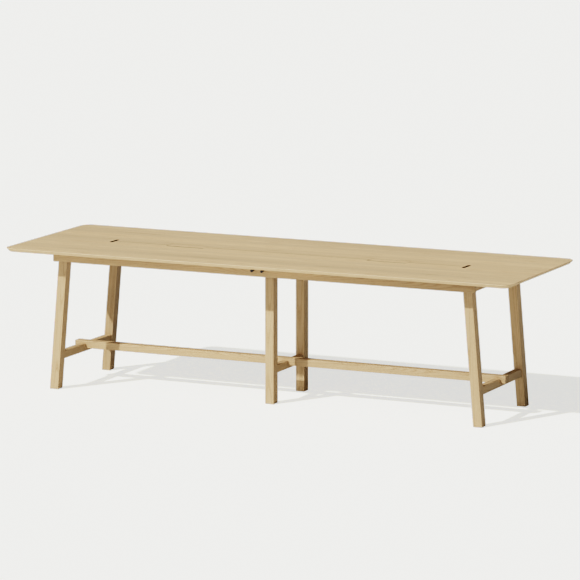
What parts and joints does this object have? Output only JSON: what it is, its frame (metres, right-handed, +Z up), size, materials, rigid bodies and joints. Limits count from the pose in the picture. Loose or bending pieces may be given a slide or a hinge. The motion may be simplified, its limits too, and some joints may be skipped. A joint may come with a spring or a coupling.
{
  "type": "communal table",
  "caption": "Long oak table on splayed end trestles and a middle trestle, tied by a low stretcher, with hinged cable hatches in the top.",
  "frame": {"origin": "on the floor, under the middle of the table", "axes": "+X along the table, +Y across it away from the front, +Z up"},
  "size_m": [2.78, 0.9, 0.74],
  "materials": {
    "apron_front": "clear matt oiled oak, grain along the longest side",
    "apron_rear": "clear matt oiled oak, grain along the longest side",
    "bag_peg_front_left": "matt black moulded plastic",
    "bag_peg_front_right": "matt black moulded plastic",
    "bag_peg_rear_left": "matt black moulded plastic",
    "bag_peg_rear_right": "matt black moulded plastic",
    "cable_tray_left": "fine-textured black powder coat",
    "cable_tray_right": "fine-textured black powder coat",
    "foot_pad_left_front": "matt black hard rubber",
    "foot_pad_left_rear": "matt black hard rubber",
    "foot_pad_middle_front": "matt black hard rubber",
    "foot_pad_middle_rear": "matt black hard rubber",
    "foot_pad_right_front": "matt black hard rubber",
    "foot_pad_right_rear": "matt black hard rubber",
    "hatch_lid_left": "clear matt oiled oak, grain along the longest side",
    "hatch_lid_right": "clear matt oiled oak, grain along the longest side",
    "hatch_pin_left_inner": "bright zinc-plated steel",
    "hatch_pin_left_outer": "bright zinc-plated steel",
    "hatch_pin_right_inner": "bright zinc-plated steel",
    "hatch_pin_right_outer": "bright zinc-plated steel",
    "leg_left_front": "clear matt oiled oak, grain along the longest side",
    "leg_left_rear": "clear matt oiled oak, grain along the longest side",
    "leg_middle_front": "clear matt oiled oak, grain along the longest side",
    "leg_middle_rear": "clear matt oiled oak, grain along the longest side",
    "leg_right_front": "clear matt oiled oak, grain along the longest side",
    "leg_right_rear": "clear matt oiled oak, grain along the longest side",
    "low_rail_left": "clear matt oiled oak, grain along the longest side",
    "low_rail_middle": "clear matt oiled oak, grain along the longest side",
    "low_rail_right": "clear matt oiled oak, grain along the longest side",
    "socket_block_left": "matt black moulded plastic",
    "socket_block_right": "matt black moulded plastic",
    "stretcher": "clear matt oiled oak, grain along the longest side",
    "stretcher_bolt_left": "bright zinc-plated steel",
    "stretcher_bolt_middle": "bright zinc-plated steel",
    "stretcher_bolt_right": "bright zinc-plated steel",
    "table_top": "clear matt lacquered oak veneer, grain along the table",
    "top_bracket_front_1": "bright zinc-plated steel",
    "top_bracket_front_2": "bright zinc-plated steel",
    "top_bracket_front_3": "bright zinc-plated steel",
    "top_bracket_rear_1": "bright zinc-plated steel",
    "top_bracket_rear_2": "bright zinc-plated steel",
    "top_bracket_rear_3": "bright zinc-plated steel",
    "top_rail_left": "clear matt oiled oak, grain along the longest side",
    "top_rail_middle": "clear matt oiled oak, grain along the longest side",
    "top_rail_right": "clear matt oiled oak, grain along the longest side"
  },
  "bodies": {
    "table": {"apron_front": "apron_front", "apron_rear": "apron_rear", "bag_peg_front_left": "bag_peg_front_left", "bag_peg_front_right": "bag_peg_front_right", "bag_peg_rear_left": "bag_peg_rear_left", "bag_peg_rear_right": "bag_peg_rear_right", "cable_tray_left": "cable_tray_left", "cable_tray_right": "cable_tray_right", "foot_pad_left_front": "foot_pad_left_front", "foot_pad_left_rear": "foot_pad_left_rear", "foot_pad_middle_front": "foot_pad_middle_front", "foot_pad_middle_rear": "foot_pad_middle_rear", "foot_pad_right_front": "foot_pad_right_front", "foot_pad_right_rear": "foot_pad_right_rear", "hatch_pin_left_inner": "hatch_pin_left_inner", "hatch_pin_left_outer": "hatch_pin_left_outer", "hatch_pin_right_inner": "hatch_pin_right_inner", "hatch_pin_right_outer": "hatch_pin_right_outer", "leg_left_front": "leg_left_front", "leg_left_rear": "leg_left_rear", "leg_middle_front": "leg_middle_front", "leg_middle_rear": "leg_middle_rear", "leg_right_front": "leg_right_front", "leg_right_rear": "leg_right_rear", "low_rail_left": "low_rail_left", "low_rail_middle": "low_rail_middle", "low_rail_right": "low_rail_right", "socket_block_left": "socket_block_left", "socket_block_right": "socket_block_right", "stretcher": "stretcher", "stretcher_bolt_left": "stretcher_bolt_left", "stretcher_bolt_middle": "stretcher_bolt_middle", "stretcher_bolt_right": "stretcher_bolt_right", "table_top": "table_top", "top_bracket_front_1": "top_bracket_front_1", "top_bracket_front_2": "top_bracket_front_2", "top_bracket_front_3": "top_bracket_front_3", "top_bracket_rear_1": "top_bracket_rear_1", "top_bracket_rear_2": "top_bracket_rear_2", "top_bracket_rear_3": "top_bracket_rear_3", "top_rail_left": "top_rail_left", "top_rail_middle": "top_rail_middle", "top_rail_right": "top_rail_right"},
    "left_lid": {"hatch_lid_left": "hatch_lid_left"},
    "right_lid": {"hatch_lid_right": "hatch_lid_right"}
  },
  "joints": [
    {"name": "left_lid_hinge", "type": "hinge", "parent": "table", "child": "left_lid", "pos_m": [-0.562, 0.0287, 0.7365], "axis": [-1, 0, 0], "range_deg": [0, 105]},
    {"name": "right_lid_hinge", "type": "hinge", "parent": "table", "child": "right_lid", "pos_m": [0.562, 0.0287, 0.7365], "axis": [-1, 0, 0], "range_deg": [0, 105]}
  ]
}
